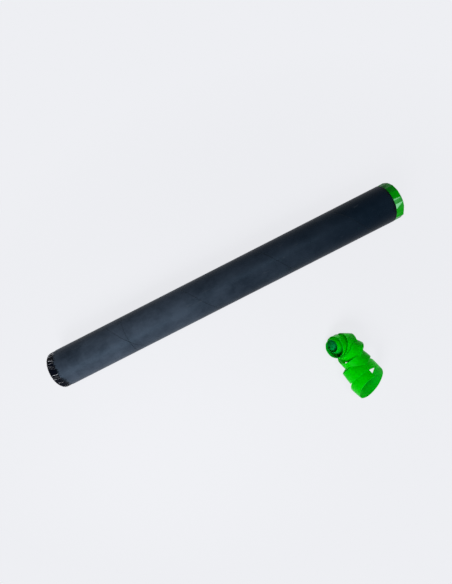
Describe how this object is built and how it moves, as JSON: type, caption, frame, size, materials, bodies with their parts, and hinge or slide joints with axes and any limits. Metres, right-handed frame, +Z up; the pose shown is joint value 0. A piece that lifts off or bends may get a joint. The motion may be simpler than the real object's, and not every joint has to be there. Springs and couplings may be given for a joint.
{
  "type": "streamer launcher",
  "caption": "Hand-held twist-fired compressed-air launcher tube for rolled party streamers, lying beside one uncurled streamer.",
  "frame": {"origin": "centre of the tail's end face, on the tube's axis, with the launcher lying on its side on a surface 25.7 mm below", "axes": "+X along the tube's axis towards the muzzle, +Z up from the surface that it lies on, +Y away from the loose streamer"},
  "size_m": [0.5, 0.2433, 0.0514],
  "materials": {
    "tube_board": "matt spiral-wound board",
    "black_ply": "satin coated paper ply",
    "white_plastic": "moulded",
    "washer_plastic": "moulded, low friction",
    "amber_plastic": "moulded",
    "green_film": "metallised film",
    "black_film": "glossy shrunk film",
    "pressed_board": "matt pressed board",
    "bottle_aluminium": "drawn, satin",
    "ring_plastic": "moulded",
    "red_plastic": "moulded",
    "pin_steel": "drawn wire",
    "seal_rubber": "matt",
    "grey_card": "die-cut greyboard",
    "white_foam": "open foam",
    "white_card": "die-cut card",
    "green_ribbon": "glossy film ribbon",
    "green_roll": "wound film ribbon"
  },
  "bodies": {
    "barrel": {"barrel_core": "tube_board", "barrel_wrap": "black_ply", "joint_sleeve": "white_plastic", "thrust_washer": "washer_plastic", "breech_seat": "amber_plastic", "gas_diffuser": "white_plastic", "muzzle_film": "green_film"},
    "grip": {"grip_core": "tube_board", "grip_wrap": "black_ply", "base_plug": "pressed_board", "base_film": "black_film", "air_bottle": "bottle_aluminium", "bottle_ring": "ring_plastic", "bottle_spacer": "pressed_board", "neck_collar": "ring_plastic"},
    "valve": {"valve_plug": "red_plastic", "cam_pin": "pin_steel", "plug_o_ring": "seal_rubber"},
    "load": {"pusher_disc": "grey_card", "foam_wad": "white_foam", "streamer_layer_1": "green_roll", "streamer_layer_2": "green_roll", "streamer_layer_3": "green_roll", "streamer_layer_4": "green_roll", "streamer_layer_5": "green_roll", "streamer_layer_6": "green_roll", "streamer_layer_7": "green_roll", "streamer_layer_8": "green_roll", "streamer_layer_9": "green_roll", "streamer_layer_10": "green_roll", "streamer_layer_11": "green_roll", "streamer_layer_12": "green_roll", "streamer_layer_13": "green_roll", "streamer_layer_14": "green_roll", "streamer_layer_15": "green_roll", "streamer_layer_16": "green_roll", "streamer_layer_17": "green_roll", "streamer_layer_18": "green_roll", "streamer_layer_19": "green_roll", "top_disc": "white_card"},
    "closure": {"muzzle_disc": "grey_card", "muzzle_seal": "green_film"},
    "loose_curl": {"loose_streamer": "green_ribbon"}
  },
  "joints": [
    {"name": "grip_twist", "type": "hinge", "parent": "barrel", "child": "grip", "pos_m": [0.11, 0, 0], "axis": [1, 0, 0], "range_deg": [0, 90]},
    {"name": "plug_release", "type": "slide", "parent": "grip", "child": "valve", "axis": [1, 0, 0], "range_m": [0, 0.006]},
    {"name": "load_travel", "type": "slide", "parent": "barrel", "child": "load", "axis": [1, 0, 0], "range_m": [0, 0.36]},
    {"name": "closure_pop", "type": "slide", "parent": "barrel", "child": "closure", "axis": [1, 0, 0], "range_m": [0, 0.36]},
    {"name": "streamer_lift", "type": "slide", "parent": "barrel", "child": "loose_curl", "axis": [0, 0, 1], "range_m": [0, 0.08]}
  ],
  "couplings": [
    {"joint": "plug_release", "follows": "grip_twist", "m_per_rad": 0.003819},
    {"joint": "closure_pop", "follows": "load_travel", "ratio": 1}
  ]
}
